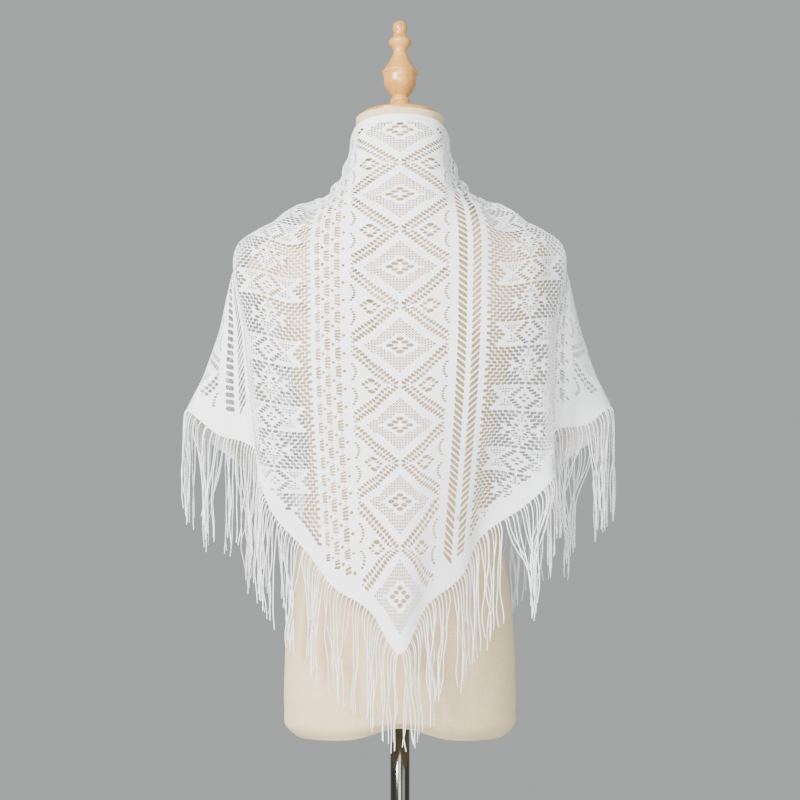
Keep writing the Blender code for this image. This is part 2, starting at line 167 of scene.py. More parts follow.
def makeLaceMaterial(name):
    material, tree, shader = newMaterial(name, laceLook["colour"], 0.9)
    shader.inputs["Sheen Weight"].default_value = 0.25
    shader.inputs["Specular IOR Level"].default_value = 0.15
    place, across, down = flatPlace(tree, "flat")
    # stitches are rows of small Vs: down is shifted by how far across lies from a wale's middle
    zigzag = maths(tree, "PINGPONG", across, laceLook["wale"] / 2)
    legs = maths(tree, "MULTIPLY_ADD", zigzag, -0.9, down)
    knit = maths(tree, "ADD", wave(tree, across, laceLook["wale"]), wave(tree, legs, laceLook["stitch"]))
    fuzz = noise(tree, place, 1500)
    height = maths(tree, "MULTIPLY_ADD", fuzz, 1.1, maths(tree, "MULTIPLY", knit, 0.5))
    blendColours(tree, noise(tree, place, 9), laceLook["shade"], laceLook["colour"],
                 shader.inputs["Base Color"])
    addBump(tree, height, 0.45, 0.0005, shader)
    return material


def makeCordMaterial(name):
    material, tree, shader = newMaterial(name, laceLook["colour"], 0.9)
    shader.inputs["Sheen Weight"].default_value = 0.25
    shader.inputs["Specular IOR Level"].default_value = 0.15
    place, around, along = flatPlace(tree, "cord")
    # a two-ply twist: the ridge climbs once round the strand in 4 mm
    turn = maths(tree, "MULTIPLY", around, 2 * math.pi)
    twist = maths(tree, "MULTIPLY_ADD", along, 2 * math.pi / laceLook["twist"], turn)
    fuzz = noise(tree, objectPlace(tree), 1800)
    height = maths(tree, "MULTIPLY_ADD", fuzz, 0.6, maths(tree, "SINE", twist))
    blendColours(tree, noise(tree, objectPlace(tree), 40), laceLook["shade"], laceLook["colour"],
                 shader.inputs["Base Color"])
    addBump(tree, height, 0.5, 0.0004, shader)
    return material


linenLook = {"light": (0.76, 0.60, 0.36), "dark": (0.64, 0.48, 0.27), "thread": 0.0013}


def makeLinenMaterial(name):
    material, tree, shader = newMaterial(name, linenLook["light"], 0.92)
    shader.inputs["Specular IOR Level"].default_value = 0.12
    shader.inputs["Sheen Weight"].default_value = 0.12
    place, across, up = flatPlace(tree, "cover")
    warp = wave(tree, across, linenLook["thread"])
    weft = wave(tree, up, linenLook["thread"])
    weave = maths(tree, "MULTIPLY", warp, weft)
    # slubs: thick threads run along the cloth in both directions
    long = noise(tree, stretched(tree, place, (1.0, 0.06, 1.0)), 900)
    level = noise(tree, stretched(tree, place, (0.06, 1.0, 1.0)), 900)
    slub = maths(tree, "ADD", long, level)
    tone = maths(tree, "MULTIPLY_ADD", weave, 0.18, maths(tree, "MULTIPLY_ADD", slub, 1.6, -1.1))
    tone.node.use_clamp = True
    blendColours(tree, tone, linenLook["dark"], linenLook["light"], shader.inputs["Base Color"])
    height = maths(tree, "MULTIPLY_ADD", slub, 1.5, weave)
    addBump(tree, height, 0.35, 0.0003, shader)
    return material


woodLook = {"light": (0.66, 0.34, 0.08), "dark": (0.40, 0.16, 0.025), "gloss": 0.3}


def makeWoodMaterial(name):
    material, tree, shader = newMaterial(name, woodLook["light"], woodLook["gloss"])
    shader.inputs["Coat Weight"].default_value = 0.35
    shader.inputs["Coat Roughness"].default_value = 0.15
    place = objectPlace(tree)
    broad = noise(tree, stretched(tree, place, (1.0, 1.0, 0.12)), 90, 5)
    pores = noise(tree, stretched(tree, place, (1.0, 1.0, 0.04)), 1400, 2)
    tone = maths(tree, "MULTIPLY_ADD", pores, 0.5, maths(tree, "MULTIPLY_ADD", broad, 1.7, -0.6))
    tone.node.use_clamp = True
    blendColours(tree, tone, woodLook["dark"], woodLook["light"], shader.inputs["Base Color"])
    addBump(tree, pores, 0.12, 0.0002, shader)
    return material


chromeLook = {
    "colour": (0.10, 0.097, 0.09),
    "light": (0.115, 0.112, 0.105),
    "dark": (0.085, 0.082, 0.077),
    "gloss": 0.12,
}


def makeChromeMaterial(name):
    material, tree, shader = newMaterial(name, chromeLook["colour"], chromeLook["gloss"], 1.0)
    place = objectPlace(tree)
    blendColours(tree, noise(tree, place, 60), chromeLook["dark"], chromeLook["light"],
                 shader.inputs["Base Color"])
    rough = maths(tree, "MULTIPLY_ADD", noise(tree, stretched(tree, place, (1, 1, 0.05)), 300), 0.14, 0.05)
    tree.links.new(rough, shader.inputs["Roughness"])
    return material


baseLook = {
    "colour": (0.80, 0.79, 0.77),
    "light": (0.82, 0.81, 0.79),
    "dark": (0.74, 0.73, 0.71),
    "gloss": 0.35,
}


def makeBaseMaterial(name):
    material, tree, shader = newMaterial(name, baseLook["colour"], baseLook["gloss"])
    place = objectPlace(tree)
    blendColours(tree, noise(tree, place, 25), baseLook["dark"], baseLook["light"],
                 shader.inputs["Base Color"])
    addBump(tree, noise(tree, place, 1100), 0.08, 0.0002, shader)
    return material


floorLook = {"colour": (0.62, 0.62, 0.61), "light": (0.64, 0.64, 0.63), "dark": (0.60, 0.60, 0.59)}


def makeFloorMaterial(name):
    material, tree, shader = newMaterial(name, floorLook["colour"], 0.8)
    blendColours(tree, noise(tree, objectPlace(tree), 3), floorLook["dark"], floorLook["light"],
                 shader.inputs["Base Color"])
    return material


laceMaterial = makeLaceMaterial("whiteLace")
cordMaterial = makeCordMaterial("whiteCord")
linenMaterial = makeLinenMaterial("beigeLinen")
woodMaterial = makeWoodMaterial("turnedMaple")
chromeMaterial = makeChromeMaterial("chromedTube")
baseMaterial = makeBaseMaterial("paintedPlate")
print("materials made")


# Meshes

def addMesh(name, points, faces, sizes, material, layer=None, uv=None, sharp=None):
    # faces is one flat array of corners, sizes the corner count of each face
    mesh = bpy.data.meshes.new(name)
    starts = np.concatenate(([0], np.cumsum(sizes)[:-1]))
    mesh.vertices.add(len(points))
    mesh.vertices.foreach_set("co", np.asarray(points, np.float32).ravel())
    mesh.loops.add(len(faces))
    mesh.loops.foreach_set("vertex_index", np.asarray(faces, np.int32))
    mesh.polygons.add(len(sizes))
    mesh.polygons.foreach_set("loop_start", starts.astype(np.int32))
    mesh.update(calc_edges=True)
    mesh.validate()
    if layer:
        mesh.uv_layers.new(name=layer).data.foreach_set("uv", np.asarray(uv[faces], np.float32).ravel())
    mesh.materials.append(material)
    mesh.shade_smooth()
    if sharp:
        mesh.set_sharp_from_angle(angle=math.radians(sharp))
    piece = bpy.data.objects.new(name, mesh)
    bpy.context.scene.collection.objects.link(piece)
    return piece


def gridFaces(rows, columns, closed):
    # quads between neighbouring rows; closed joins the last column to the first
    r, c = np.meshgrid(np.arange(rows - 1), np.arange(columns if closed else columns - 1), indexing="ij")
    after = (c + 1) % columns
    here, above = r * columns, (r + 1) * columns
    return np.stack([here + c, here + after, above + after, above + c], -1).reshape(-1, 4)


def turnedMesh(name, profile, sides, place, material, sharp=50):
    # rows of rings from heights and radii, each end closed by a fan
    heights, radii = np.array(profile, float).T
    angle = 2 * math.pi * np.arange(sides) / sides
    ringX = radii[:, None] * np.cos(angle)
    ringY = radii[:, None] * np.sin(angle)
    points = place(ringX, ringY, np.broadcast_to(heights[:, None], ringX.shape)).reshape(-1, 3)
    ends = place(np.zeros(2), np.zeros(2), heights[[0, -1]])
    points = np.concatenate((points, ends))
    quads = gridFaces(len(heights), sides, True)
    k = np.arange(sides)
    last = len(points) - 1
    low = np.stack([np.full(sides, last - 1), (k + 1) % sides, k], -1)
    top = (len(heights) - 1) * sides
    high = np.stack([np.full(sides, last), top + k, top + (k + 1) % sides], -1)
    faces = np.concatenate((quads.ravel(), low.ravel(), high.ravel()))
    sizes = np.concatenate((np.full(len(quads), 4), np.full(2 * sides, 3)))
    return addMesh(name, points, faces, sizes, material, sharp=sharp)


def neckLean(z):
    return math.tan(neckTilt) * np.maximum(0.0, z - neckFoot)


def onNeck(x, y, h):
    c, s = math.cos(neckTilt), math.sin(neckTilt)
    return np.stack([x, neckLean(neckTop) + y * c + h * s, formLift + neckTop + h * c - y * s], axis=-1)


def upright(x, y, h):
    return np.stack([x, y, h], axis=-1)


# The dress form: level sections from its underside to the neck's rim

formParts = {
    "sides": 144,
    "rings": 150,
    "squareness": 0.9,
    "arch": 0.018,
    "archWidth": 0.045,
    # the seams' places are shares of the half width
    "seamPlaces": (-0.52, 0.0, 0.52),
    "seamWidth": 0.012,
    "seamDepth": 0.0007,
    "sections": (
        # height, half width, to the back, to the front
        (0.000, 0.134, 0.082, 0.080), (0.010, 0.146, 0.090, 0.088), (0.035, 0.150, 0.096, 0.093),
        (0.080, 0.150, 0.099, 0.095), (0.130, 0.148, 0.099, 0.096), (0.190, 0.142, 0.096, 0.094),
        (0.245, 0.133, 0.091, 0.090), (0.300, 0.124, 0.086, 0.087), (0.360, 0.119, 0.084, 0.087),
        (0.400, 0.123, 0.086, 0.094), (0.440, 0.133, 0.092, 0.107), (0.490, 0.147, 0.100, 0.118),
        (0.540, 0.170, 0.105, 0.112), (0.580, 0.190, 0.098, 0.097), (0.610, 0.197, 0.084, 0.085),
        (0.630, 0.190, 0.074, 0.076), (0.648, 0.164, 0.066, 0.068), (0.662, 0.134, 0.062, 0.062),
        (0.678, 0.104, 0.063, 0.058), (0.700, 0.076, 0.058, 0.056), (0.728, 0.061, 0.054, 0.056),
        (0.760, 0.0570, 0.0540, 0.0550), (0.8008, 0.0576, 0.0554, 0.0550),
    ),
}


def makeForm():
    # x and y of a ring are a rounded box: width times a power of cos, depth times that power of sin
    sections = np.array(formParts["sections"])
    z = np.linspace(0, neckTop, formParts["rings"])
    z = np.unique(np.concatenate((z, [0.0015, 0.003, 0.006])))
    rows = through(sections[:, 0], sections[:, 1:], z)
    angle = 2 * math.pi * np.arange(formParts["sides"]) / formParts["sides"]
    c, s = np.cos(angle), np.sin(angle)
    power = formParts["squareness"]
    x = rows[:, :1] * np.sign(c) * np.abs(c) ** power
    y = np.where(s > 0, rows[:, 2:3], rows[:, 1:2]) * np.sign(s) * np.abs(s) ** power
    level = z[:, None]
    # seams: a shallow groove down the middle of back and front and two beside it
    groove = sum(np.exp(-((c - mid) / formParts["seamWidth"]) ** 2) for mid in formParts["seamPlaces"])
    scale = 1 - formParts["seamDepth"] * groove / 0.1
    x, y = x * scale, y * scale
    lean = smooth((level - neckFoot) / (neckTop - neckFoot - 0.02))
    notch = formParts["arch"] * np.exp(-(x / formParts["archWidth"]) ** 2) * smooth(1 - level / 0.03)
    height = level + notch - y * math.tan(neckTilt) * lean
    rings = np.stack([x, y + neckLean(level), formLift + height], -1)
    seatRadius = 1.6 * poleRadius
    seat = np.stack([seatRadius * c, seatRadius * s, np.full_like(c, formLift + formParts["arch"])], -1)
    # the underside between seat and rim is drawn in even steps
    share = np.array([0.25, 0.5, 0.75])[:, None, None]
    under = seat[None] * (1 - share) + rings[:1] * share
    under[:, :, 2] = formLift + formParts["arch"] * np.exp(-(under[:, :, 0] / formParts["archWidth"]) ** 2)
    body = np.concatenate((seat[None], under, rings))
    count = body.shape[1]
    girth = np.concatenate((np.zeros((body.shape[0], 1)),
                            np.cumsum(np.linalg.norm(np.diff(body, axis=1), axis=-1), axis=1)), axis=1)
    uv = np.stack([girth, body[:, :, 2]], -1).reshape(-1, 2)
    points = np.concatenate((body.reshape(-1, 3), [[0, 0, formLift + formParts["arch"]]],
                             onNeck(np.zeros(1), np.zeros(1), np.zeros(1))))
    uv = np.concatenate((uv, [[0, 0], [0, 1]]))
    quads = gridFaces(body.shape[0], count, True)
    k = np.arange(count)
    last = len(points) - 1
    low = np.stack([np.full(count, last - 1), (k + 1) % count, k], -1)
    top = (body.shape[0] - 1) * count
    high = np.stack([np.full(count, last), top + k, top + (k + 1) % count], -1)
    faces = np.concatenate((quads.ravel(), low.ravel(), high.ravel()))
    sizes = np.concatenate((np.full(len(quads), 4), np.full(2 * count, 3)))
    piece = addMesh("linenForm", points, faces, sizes, linenMaterial, "cover", uv, sharp=50)
    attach(piece, "root")
    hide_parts("form_body")
    return piece


linenForm = makeForm()
print("form made")

# The turned disc and finial on the neck, as heights above the rim and radii

topParts = {
    "disc": ((0.0, 0.0497), (0.0008, 0.0510), (0.0020, 0.0515), (0.0045, 0.0515), (0.0060, 0.0510),
             (0.0068, 0.0500), (0.0070, 0.0495)),
    "finial": (
        (0.0000, 0.0145), (0.0150, 0.0135), (0.0190, 0.0125), (0.0210, 0.0130), (0.0235, 0.0099),
        (0.0280, 0.0130), (0.0340, 0.0172), (0.0410, 0.0204), (0.0540, 0.0221), (0.0578, 0.0237),
        (0.0615, 0.0215), (0.0735, 0.0142), (0.0915, 0.0101), (0.0960, 0.0140), (0.0995, 0.0152),
        (0.1030, 0.0140), (0.1070, 0.0097), (0.1200, 0.0096), (0.1235, 0.0091), (0.1265, 0.0075),
        (0.1288, 0.0047), (0.1300, 0.0018),
    ),
    "sides": 64,
    "space": 0.0003,
}


def makeTop():
    def discPlace(x, y, h):
        return onNeck(x, y, h + topParts["space"])

    def finialPlace(x, y, h):
        return onNeck(x, y, h + topParts["disc"][-1][0] + 2 * topParts["space"])

    disc = turnedMesh("woodDisc", topParts["disc"], topParts["sides"], discPlace, woodMaterial)
    rows = np.array(topParts["finial"])
    fine = np.unique(np.concatenate((np.linspace(0, rows[-1, 0], 90), rows[:, 0])))
    profile = np.stack([fine, through(rows[:, 0], rows[:, 1:], fine)[:, 0]], -1)
    knob = turnedMesh("woodFinial", profile, topParts["sides"], finialPlace, woodMaterial)
    for piece, node in ((disc, "neck_disc"), (knob, "finial")):
        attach(piece, "root")
        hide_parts(node)
    return disc, knob


woodDisc, woodFinial = makeTop()

# The stand: a chromed tube in the hub of a flat round plate

standParts = {
    "base": ((0.0, 0.1620), (0.0010, 0.1642), (0.0030, 0.1650), (0.0090, 0.1650), (0.0110, 0.1642),
             (0.0120, 0.1622), (0.0126, 0.1000), (0.0138, 0.0420), (0.0160, 0.0330), (0.0190, 0.0302),
             (0.0410, 0.0280), (0.0440, 0.0268), (0.0450, 0.0240)),
    "poleTop": 0.5777,
    "chamfer": 0.0006,
    "space": 0.0003,
}


def makeStand():
    plate = turnedMesh("standPlate", standParts["base"], 96, upright, baseMaterial)
    low, high = standParts["base"][-1][0] + standParts["space"], standParts["poleTop"]
    chamfer = standParts["chamfer"]
    profile = ((low, poleRadius - chamfer), (low + chamfer, poleRadius),
               (high - chamfer, poleRadius), (high, poleRadius - chamfer))
    pole = turnedMesh("standTube", profile, 48, upright, chromeMaterial)
    for piece, node, finish in ((plate, "stand_base", "base"), (pole, "stand_pole", "chrome")):
        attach(piece, "root")
        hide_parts(node)
    return plate, pole


standPlate, standTube = makeStand()
print("top and stand made")

# The scarf as worn. Each column starts at the top edge and passes the points of its row: across from
# the middle, from back to front, and up from the form's underside; hemRight and hemLeft are its ends.

scarfParts = {
    "topEdge": 1.48,
    "depth": 0.71,
    "wall": 0.0005,
    "fold": 0.239,
    "fluteHeight": 0.009,
    "fluteWidth": 0.066,
    "columns": (
        (0.000, (.000, -.0438, .803), (.000, -.058, .752), (.000, -.094, .660), (.000, -.119, .560)),
        (0.055, (.0484, -.0224, .795), (.054, -.040, .750), (.056, -.088, .664), (.056, -.117, .560)),
        (0.096, (.062, .017, .779), (.069, .005, .733), (.096, -.068, .668), (.098, -.109, .560)),
        (0.139, (.059, .042, .748), (.089, .015, .705), (.130, -.049, .657), (.134, -.096, .560)),
        (0.198, (.045, .076, .700), (.150, .014, .678), (.176, -.031, .644), (.177, -.073, .560)),
        (0.217, (.041, .086, .686), (.140, .042, .673), (.186, -.008, .652), (.191, -.058, .560)),
        (0.236, (.038, .096, .672), (.132, .060, .668), (.207, .002, .640), (.199, -.045, .520)),
        (0.252, (.036, .106, .658), (.130, .074, .663), (.208, .012, .636), (.196, -.026, .510)),
        (0.268, (.036, .115, .645), (.127, .084, .657), (.208, .018, .632), (.191, -.014, .500)),
        (0.299, (.037, .126, .616), (.126, .099, .640), (.209, .026, .624), (.206, -.004, .510)),
        (0.333, (.038, .134, .583), (.126, .110, .614), (.210, .036, .610), (.230, .002, .505)),
        (0.365, (.039, .139, .551), (.130, .118, .582), (.213, .052, .580), (.246, .020, .490)),
        (0.400, (.040, .143, .516), (.125, .127, .545), (.206, .080, .532), (.245, .050, .460)),
        (0.440, (.041, .146, .476), (.122, .134, .497), (.188, .108, .480), (.230, .080, .430)),
        (0.500, (.042, .149, .416), (.105, .142, .430), (.150, .131, .408), (.180, .116, .370)),
        (0.570, (.043, .151, .346), (.085, .148, .352), (.110, .144, .335), (.130, .138, .312)),
        (0.650, (.043, .152, .266), (.065, .151, .268), (.075, .150, .260), (.085, .149, .248)),
        (0.740, (.043, .153, .176), (.044, .153, .175), (.045, .153, .174), (.046, .153, .173)),
    ),
    "hemRight": (
        (.000, -.150, .119), (.034, -.130, .179), (.075, -.114, .212), (.099, -.097, .259),
        (.160, -.086, .303), (.180, -.083, .320), (.195, -.075, .339), (.188, -.059, .351),
        (.184, -.044, .368), (.201, -.026, .396), (.242, -.018, .404), (.272, .006, .425),
        (.272, .038, .406), (.254, .064, .384), (.202, .100, .336), (.146, .131, .288),
        (.095, .147, .234), (.047, .153, .172),
    ),
    "hemLeft": (
        (.000, -.150, .119), (.039, -.131, .173), (.083, -.116, .200), (.115, -.100, .241),
        (.165, -.082, .298), (.174, -.080, .320), (.180, -.073, .343), (.178, -.058, .352),
        (.177, -.043, .362), (.198, -.024, .380), (.236, -.014, .391), (.275, .006, .420),
        (.272, .038, .404), (.254, .064, .384), (.202, .100, .336), (.146, .131, .288),
        (.095, .147, .234), (.047, .153, .172),
    ),
}
half = scarfParts["topEdge"] / 2
depth = scarfParts["depth"]
fold = scarfParts["fold"]


def allColumns(count):
    places, curves = [], []
    for side, hems in ((-1, "hemLeft"), (1, "hemRight")):
        rows = [(row[0], [*row[1:], hem]) for row, hem in zip(scarfParts["columns"], scarfParts[hems])]
        for place, points in (rows[:0:-1] if side < 0 else rows):
            places.append(side * place)
            curves.append(evenCurve([(side * x, y, z + formLift) for x, y, z in points], count))
    return np.array(places), np.array(curves)


columnPlaces, columnCurves = allColumns(257)
columnSlopes = np.gradient(columnCurves, columnPlaces, axis=0)


def columnLength(u):
    return depth * (1 - np.abs(u) / half)


def hungCloth(u, v):
    # across the columns by cubics, down a column by its share of the length, then the fronts' flutes
    share = v / np.maximum(columnLength(u), 0.002) * (columnCurves.shape[1] - 1)
    i = np.clip(np.searchsorted(columnPlaces, u, side="right") - 1, 0, len(columnPlaces) - 2)
    j = np.clip(share.astype(int), 0, columnCurves.shape[1] - 2)
    r = (share - j)[:, None]
    step = (columnPlaces[i + 1] - columnPlaces[i])[:, None]
    s = (u - columnPlaces[i])[:, None] / step

    def along(table, column):
        return table[column, j] * (1 - r) + table[column, j + 1] * r

    point = ((1 + 2 * s) * (1 - s) ** 2 * along(columnCurves, i)
             + s * (1 - s) ** 2 * step * along(columnSlopes, i)
             + s * s * (3 - 2 * s) * along(columnCurves, i + 1)
             + s * s * (s - 1) * step * along(columnSlopes, i + 1))
    flute = scarfParts["fluteHeight"] * smooth((np.abs(u) - 0.30) / 0.16)
    flute = flute * np.sin(2 * math.pi * v / scarfParts["fluteWidth"]) * smooth(columnLength(u) / 0.25)
    point[:, 0] += 0.35 * flute * np.sign(u)
    point[:, 1] += 0.94 * flute
    return point


foldParts = {
    "height": 0.0035,
    # the puckers beside the neck: middle and reach across and down, and from one to the next
    "neckAcross": 0.125,
    "neckAcrossReach": 0.05,
    "neckDown": 0.065,
    "neckDownReach": 0.055,
    "neckPeriod": 0.031,
    # the slow ripple over the back
    "backReach": 0.21,
    "backPeriod": 0.105,
}


def softFolds(u, v):
    # height of the small hand-laid creases above the smooth drape
    neckSide = np.exp(-((np.abs(u) - foldParts["neckAcross"]) / foldParts["neckAcrossReach"]) ** 2)
    neckSide = neckSide * np.exp(-((v - foldParts["neckDown"]) / foldParts["neckDownReach"]) ** 2)
    bunch = neckSide * np.sin(2 * math.pi * (v + 0.35 * np.abs(u)) / foldParts["neckPeriod"])
    back = smooth(v / 0.12) * smooth(1 - np.abs(u) / foldParts["backReach"])
    back = back * smooth((columnLength(u) - v) / 0.08)
    ripple = back * np.sin(2 * math.pi * u / foldParts["backPeriod"] + 1.1 * np.sin(9 * v + 2 * u))
    return foldParts["height"] * (1.2 * np.maximum(bunch, -0.15) + 0.4 * (ripple + 1))


def clothFrame(place, u, v, step=0.0012):
    along = place(u + step, v) - place(u - step, v)
    down = place(u, v + step) - place(u, v - step)
    return unit(along), unit(down), unit(np.cross(along, down))


def cloth(u, v):
    u, v = np.asarray(u, float), np.asarray(v, float)
    point = hungCloth(u, v)
    square = clothFrame(hungCloth, u, np.maximum(v, 0.0013))[2]
    return point - square * softFolds(u, v)[:, None]


# The lace chart. Its unit is one count of the pattern, 1.27 mm; places are across and down.

chart = {
    "count": 0.00127,
    "repeat": 0.330,
    "diamondRise": 80.0,
    "chevronPlace": 68.0,
    "chevronRise": 6.4,
    "netPlace": 129.0,
    "netRise": 64.0,
    "netStart": -10.0,
    # the net of the right side starts higher
    "netRightUp": 13.0,
    "netGap": (5.4, 2.7),
    "netSlant": 0.14,
    "netAcross": 6.15,
    "netShift": 3.07,
    "netRows": 18,
    "combPlaces": (-61.0, -71.2, -81.2),
    "combRise": 17.8,
    "pinAcross": 3.14,
    "pinDown": 2.64,
    "openness": 1.08,
    "plainTop": 0.010,
    "plainHem": 0.0185,
    "meshTip": 0.008,
    "slotTip": 0.0165,
    # the cloth is stretched lengthwise here and there: diamonds counted down, and where they come to lie
    "rows": (-1, 0, 1, 2, 3, 4, 5, 5.5, 5.66, 6, 6.34, 6.5, 7.5),
    "rowPlaces": (-.0736, .022, .1145, .2145, .3175, .4195, .5164, .577, .5905, .6375, .6845, .70, .80),
    # and widened over the shoulder blades: counts across, and the count at which they come to lie
    "across": (0, 85, 129, 146, 174, 700),
    "acrossPlaces": (0, 84, 142.5, 165.5, 189, 715),
    # the shoulder folds take up cloth, more on the left: counts from the middle, and counts taken up
    "tuckFrom": 174.0,
    "tuckLeft": 37.0,
    "tuckRight": 27.0,
}


def outline(width, height, slant, corners):
    # a leaf (8), slot (6) or pinhole (4): half sizes around a middle, sheared by slant
    shapes = {
        8: ((-1, 0), (-.66, -.74), (0, -1), (.66, -.74), (1, 0), (.66, .74), (0, 1), (-.66, .74)),
        6: ((-1, 0), (-.72, -1), (.72, -1), (1, 0), (.72, 1), (-.72, 1)),
        4: ((-1, 0), (0, -1), (1, 0), (0, 1)),
    }
    shape = np.array(shapes[corners], float) * (width / 2, height / 2) * chart["openness"]
    shape[:, 1] += slant * shape[:, 0]
    return shape


def gapsAt(middles, width, height, slant=0.0, corners=6):
    middles = np.array(middles, float).reshape(-1, 1, 2)
    return (middles + outline(width, height, slant, corners)).reshape(-1, 2), corners


def twoWays(middles, width, height, slant=0.0, corners=6):
    # the right half of a motif and its mirror
    middles = np.array(middles, float).reshape(-1, 2)
    return [gapsAt(middles * (a, 1), width, height, slant * a, corners) for a in (-1, 1)]


def fourWays(middles, width, height, slant=0.0, corners=6):
    # the lower right quarter of a motif and its three mirrors
    middles = np.array(middles, float).reshape(-1, 2)
    return [gapsAt(middles * (a, b), width, height, slant * a * b, corners)
            for a in (-1, 1) for b in (-1, 1)]


def pinholes(x0, x1, y0, y1, keep):
    # a fine mesh: rows of larger holes, and smaller ones in between
    found = []
    stepX, stepY = chart["pinAcross"], chart["pinDown"]
    for shift, size in (((0.0, 0.0), 2.6), ((1.57, 1.32), 1.3)):
        x, y = np.meshgrid(np.arange(x0, x1, stepX) + shift[0], np.arange(y0, y1, stepY) + shift[1])
        chosen = keep(x, y)
        found.append(gapsAt(np.stack([x[chosen], y[chosen]], -1), size, 0.86 * size, 0, 4))
    return found


def diamondMotif():
    # border: two rows of slots on each side, brick fashion; a ring of mesh; eight petals
    n = np.arange(14)[:, None]
    gaps = fourWays((44.4, 4.6) + n * (-3.11, 2.55), 5.0, 2.8, 0.30)
    gaps += fourWays((46.2, 10.8) + n[:11] * (-3.1, 2.5), 4.0, 2.7, 0.30)
    gaps += fourWays((46.2, 10.2) + n[11:12] * (-3.1, 2.5), 3.8, 1.9, 0.30)
    gaps += fourWays([(47.0, 2.2)], 3.4, 1.6, 0.15) + fourWays([(48.4, 7.3)], 1.9, 1.7)
    gaps += pinholes(-34.54, 35, -26.4, 27, lambda x, y: (np.abs(x) / 35.2 + np.abs(y) / 27.4 < 1)
                     & (np.abs(x) / 22.0 + np.abs(y) / 12.6 > 1))
    gaps.append(gapsAt([(0, -6.4), (0, 6.4), (-10.3, 0), (10.3, 0)], 7.8, 3.6, -0.03, 8))
    gaps += fourWays([(5.1, 3.1)], 7.2, 3.3, 0.06, 8)
    return gaps


def crossingMotif():
    # between two diamonds: at each side a ring flower and two arcs of dots; wide slots where they meet
    gaps = [gapsAt([(0, 0)], 1.6, 1.6, 0, 4)] + twoWays([(8.4, 0)], 2.9, 1.3)
    gaps += twoWays([(29.6, -5.6), (29.6, 5.6)], 8.0, 3.8, 0, 8)
    gaps += twoWays([(21.4, 0), (37.8, 0)], 4.6, 3.0, 0, 8)
    gaps += twoWays([(24.7, -2.8), (34.5, 2.8)], 4.6, 2.6, 0.2, 8)
    gaps += twoWays([(24.7, 2.8), (34.5, -2.8)], 4.6, 2.6, -0.2, 8)
    t = np.linspace(-1, 1, 7)
    gaps += fourWays(np.stack([48.0 - 3.1 * (1 - t * t), 12.4 + 7.6 * t], -1), 3.0, 1.8)
    return gaps


def chevronMotif():
    return [gapsAt([(-6.6, 0)], 8.8, 4.1, 0.84), gapsAt([(7.2, 0)], 9.4, 4.1, -0.84)]


def netMotif():
    # one period: the four-hole diamond at 0 and the butterfly half a period below, with their meshes
    gaps = [gapsAt([(0, -2.9), (0, 2.9), (-3.2, 0), (3.2, 0)], 3.8, 2.2, 0, 8)]
    gaps += fourWays([(3.4, 9.6), (6.0, 7.3), (8.6, 5.0), (11.2, 2.7)], 5.0, 2.3, 0.2)
    gaps += twoWays([(14.1, 0)], 5.0, 1.7)
    gaps += twoWays(np.stack([np.arange(11.4, 28, 2.7), np.full(7, -11.0)], -1), 1.7, 1.2, 0, 4)
    gaps += pinholes(-28.26, 29, -8.6, 9.5, lambda x, y: np.abs(np.abs(x) - 18.2) < 0.95 * np.abs(y) - 1.2)
    gaps += twoWays([(1.9, 32)], 1.9, 1.9, 0, 8) + twoWays([(4.3, 27.3)], 4.3, 2.7, -0.3)
    gaps += twoWays([(10.8, 28.0), (11.0, 35.4)], 5.3, 2.5) + twoWays([(6.6, 30.4), (6.6, 33.4)], 4.4, 1.7)
    gaps += twoWays([(4.2, 35.9)], 3.8, 1.8, 0.2)
    gaps += pinholes(-9.42, 10, 17.0, 27, lambda x, y: (np.abs(x) < (y - 16.6) * 0.85) & (y < 24.4))
    gaps += pinholes(-9.42, 10, 38.6, 48, lambda x, y: np.abs(x) < (47.4 - y) * 0.85)
    return gaps


def netFill():
    # net of parallelogram gaps on both halves, left out over the motifs and in the bands' notches
    rows, columns = np.meshgrid(np.arange(-9, 9), np.arange(0, 8), indexing="ij")
    y = (rows * chart["netRise"] / chart["netRows"]).ravel()
    x = (columns * chart["netAcross"] + (rows % 2) * chart["netShift"] + 3.4).ravel()
    toButterfly = np.abs(32 - np.abs(y))
    diamond = x / 20.5 + np.abs(y) / 13.8 < 1
    sides = (np.abs(x - 18.2) < 0.95 * np.abs(y) + 3.8) & (np.abs(y) < 11.4)
    butterfly = np.where(toButterfly < 5.6, x < 16.0, x < (15.4 - toButterfly) * 0.85 + 3.4)
    notch = (x > 38.0) & (np.abs(np.abs(y) - 17.5) < 1.8)
    keep = (x < 42.5) & ~diamond & ~sides & ~butterfly & ~notch
    gaps = []
    for part, slant in ((keep & (y < 0), chart["netSlant"]), (keep & (y >= 0), -chart["netSlant"])):
        gaps += twoWays(np.stack([x[part], y[part]], -1), *chart["netGap"], slant)
    return gaps


def tuckFill(side, tuck):
    # plain net where the shoulder fold hides the cloth, already in its place across
    fit = int((tuck - 4) / chart["netAcross"])
    rows, columns = np.meshgrid(np.arange(-12, 160), np.arange(0, fit), indexing="ij")
    x = columns * chart["netAcross"] + (rows % 2) * chart["netShift"] + chart["tuckFrom"] + 18.5
    y = rows * chart["netRise"] / chart["netRows"]
    middles = np.stack([side * x.ravel(), y.ravel()], -1)
    return gapsAt(middles, *chart["netGap"], chart["netSlant"] * side)[0]


def combMotif():
    # a dot and its four slots, slanting away above and below
    slots = ((-4.4, -0.22), (-1.45, -0.08), (1.45, 0.08), (4.4, 0.22))
    gaps = [gapsAt([(0, y)], 5.8, 2.1, slant) for y, slant in slots]
    gaps.append(gapsAt([(5.6, 0)], 3.2, 3.0, 0, 8))
    gaps.append(gapsAt([(0.5, -7.2), (0.5, 7.2)], 1.6, 1.3, 0, 8))
    return gaps


